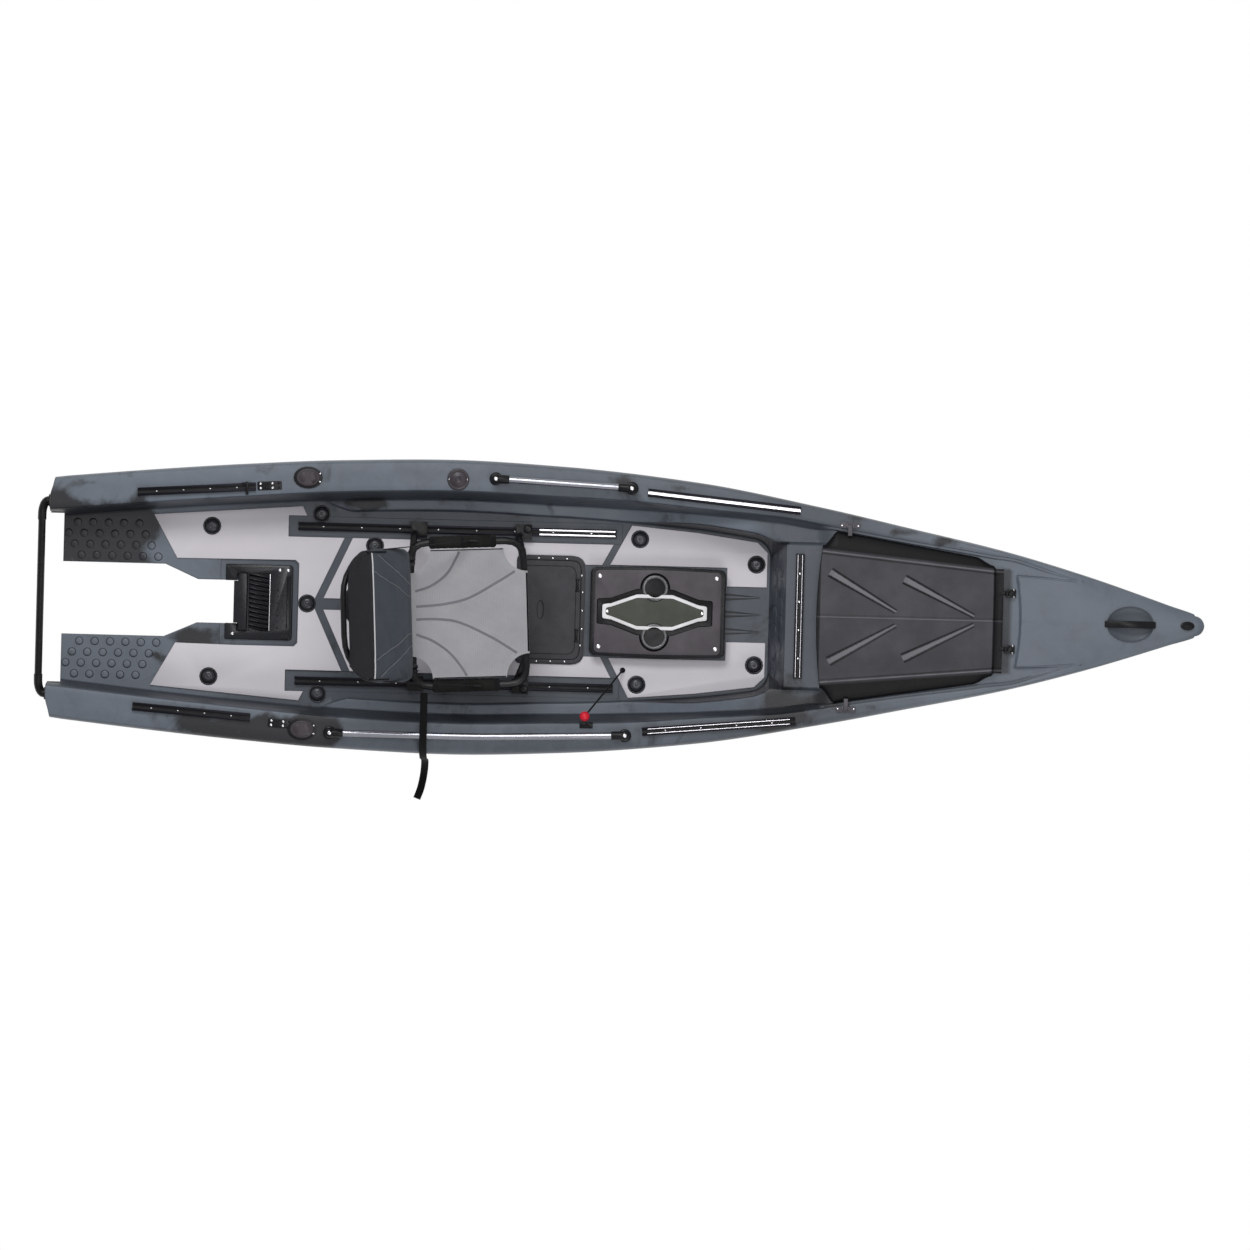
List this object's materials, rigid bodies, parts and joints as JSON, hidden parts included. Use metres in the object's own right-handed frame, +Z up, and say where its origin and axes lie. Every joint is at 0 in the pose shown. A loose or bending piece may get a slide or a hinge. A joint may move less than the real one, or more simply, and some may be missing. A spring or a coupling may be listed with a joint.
{
  "type": "motorized fishing kayak",
  "caption": "Sit-on-top fishing kayak with a stern notch and mount for a motor, gear tracks, hatches, side rails and a sliding seat with a folding backrest.",
  "frame": {"origin": "under the middle of the boat's box, on the surface that the keel rests on", "axes": "+X to the bow, +Y to port, +Z up"},
  "size_m": [3.932, 1.1505, 0.8359],
  "materials": {
    "hull": "moulded polyethylene in slate grey with darker swirls",
    "pad": "closed-cell foam deck pad, finely grained",
    "mount": "black moulded plastic",
    "plug": "soft black plug",
    "black_metal": "black powder coat on aluminium tube",
    "track": "satin anodised extrusion",
    "rail": "bright anodised tube",
    "black_plastic": "moulded black plastic",
    "hatch": "charcoal moulded plastic",
    "console": "charcoal moulded plastic",
    "mesh": "light grey woven mesh",
    "foam": "black foam sleeve",
    "backrest": "slate grey padded fabric",
    "webbing": "black woven webbing",
    "ball": "red ball on a black bungee"
  },
  "bodies": {
    "hull": {"hull": "hull", "floor_pad_aft_port": "pad", "floor_pad_aft_starboard": "pad", "floor_pad_mid_port": "pad", "floor_pad_mid_starboard": "pad", "floor_pad_fore_port": "pad", "floor_pad_fore_starboard": "pad", "motor_mount_tray": "mount", "motor_board": "mount", "scupper_plug_01": "plug", "scupper_plug_02": "plug", "scupper_plug_03": "plug", "scupper_plug_04": "plug", "scupper_plug_05": "plug", "scupper_plug_06": "plug", "scupper_plug_07": "plug", "scupper_plug_08": "plug", "scupper_plug_09": "plug", "scupper_plug_10": "plug", "scupper_plug_11": "plug", "stern_bar": "black_metal", "seat_track_port": "track", "seat_track_starboard": "track", "fore_track_port": "track", "fore_track_starboard": "track", "aft_track_port": "track", "aft_track_starboard": "track", "cross_track": "track", "side_rail_port": "rail", "side_rail_starboard": "rail", "rod_holder_port": "black_plastic", "rod_holder_starboard": "black_plastic", "cable_cover": "black_plastic", "bow_hatch_hinge_port": "black_plastic", "bow_hatch_hinge_starboard": "black_plastic", "hatch_latch_base_port": "black_plastic", "hatch_latch_base_starboard": "black_plastic", "bow_handle": "black_plastic", "bow_eye": "black_plastic", "paddle_keeper_hook": "black_plastic", "tackle_hatch_frame": "hatch", "console_base": "console", "seat_strap": "webbing", "paddle_keeper_bungee": "ball"},
    "bow_hatch": {"bow_hatch_cover": "hatch"},
    "latch_port": {"hatch_latch_lever_port": "black_plastic"},
    "latch_starboard": {"hatch_latch_lever_starboard": "black_plastic"},
    "tackle_lid": {"tackle_hatch_lid": "hatch"},
    "console_lid": {"console_lid": "console"},
    "round_hatch": {"round_hatch_lid": "black_plastic"},
    "rod_cap_port": {"rod_holder_cap_port": "black_plastic"},
    "rod_cap_starboard": {"rod_holder_cap_starboard": "black_plastic"},
    "seat": {"seat_frame": "black_metal", "seat_sling": "mesh", "seat_sleeve_port": "foam", "seat_sleeve_starboard": "foam"},
    "backrest": {"backrest_frame": "black_metal", "backrest_pad": "backrest"},
    "knob_port": {"seat_knob_port": "black_plastic"},
    "knob_starboard": {"seat_knob_starboard": "black_plastic"}
  },
  "joints": [
    {"name": "bow_hatch_hinge", "type": "hinge", "parent": "hull", "child": "bow_hatch", "pos_m": [1.302, 0, 0.39681], "axis": [0, 1, 0], "range_deg": [0, 110]},
    {"name": "latch_port_pivot", "type": "hinge", "parent": "hull", "child": "latch_port", "pos_m": [0.77, 0.3079, 0.3774], "axis": [-1, 0, 0], "range_deg": [0, 120]},
    {"name": "latch_starboard_pivot", "type": "hinge", "parent": "hull", "child": "latch_starboard", "pos_m": [0.77, -0.3079, 0.3774], "axis": [1, 0, 0], "range_deg": [0, 120]},
    {"name": "tackle_lid_hinge", "type": "hinge", "parent": "hull", "child": "tackle_lid", "pos_m": [-0.125, 0, 0.1523], "axis": [0, 1, 0], "range_deg": [0, 100]},
    {"name": "console_lid_lift", "type": "slide", "parent": "hull", "child": "console_lid", "axis": [0, 0, 1], "range_m": [0, 0.25]},
    {"name": "round_hatch_twist", "type": "hinge", "parent": "hull", "child": "round_hatch", "pos_m": [-0.861, 0, 0.1353], "axis": [0, 0, 1], "range_deg": [0, 90]},
    {"name": "rod_cap_port_hinge", "type": "hinge", "parent": "hull", "child": "rod_cap_port", "pos_m": [-1.0178, 0.42376, 0.32562], "axis": [0, 1, 0], "range_deg": [0, 110]},
    {"name": "rod_cap_starboard_hinge", "type": "hinge", "parent": "hull", "child": "rod_cap_starboard", "pos_m": [-1.0178, -0.42376, 0.32562], "axis": [0, 1, 0], "range_deg": [0, 110]},
    {"name": "seat_slide", "type": "slide", "parent": "hull", "child": "seat", "axis": [1, 0, 0], "range_m": [-0.26, 0.24]},
    {"name": "backrest_pivot", "type": "hinge", "parent": "seat", "child": "backrest", "pos_m": [-0.69175, -0.02973, 0.435], "axis": [-0.0523, 0.9986, 0], "range_deg": [-12, 100]},
    {"name": "seat_knob_port_turn", "type": "hinge", "parent": "seat", "child": "knob_port", "pos_m": [-0.315, 0.26951, 0.1679], "axis": [0, 0, 1], "continuous": true},
    {"name": "seat_knob_starboard_turn", "type": "hinge", "parent": "seat", "child": "knob_starboard", "pos_m": [-0.315, -0.26951, 0.1679], "axis": [0, 0, 1], "continuous": true}
  ]
}
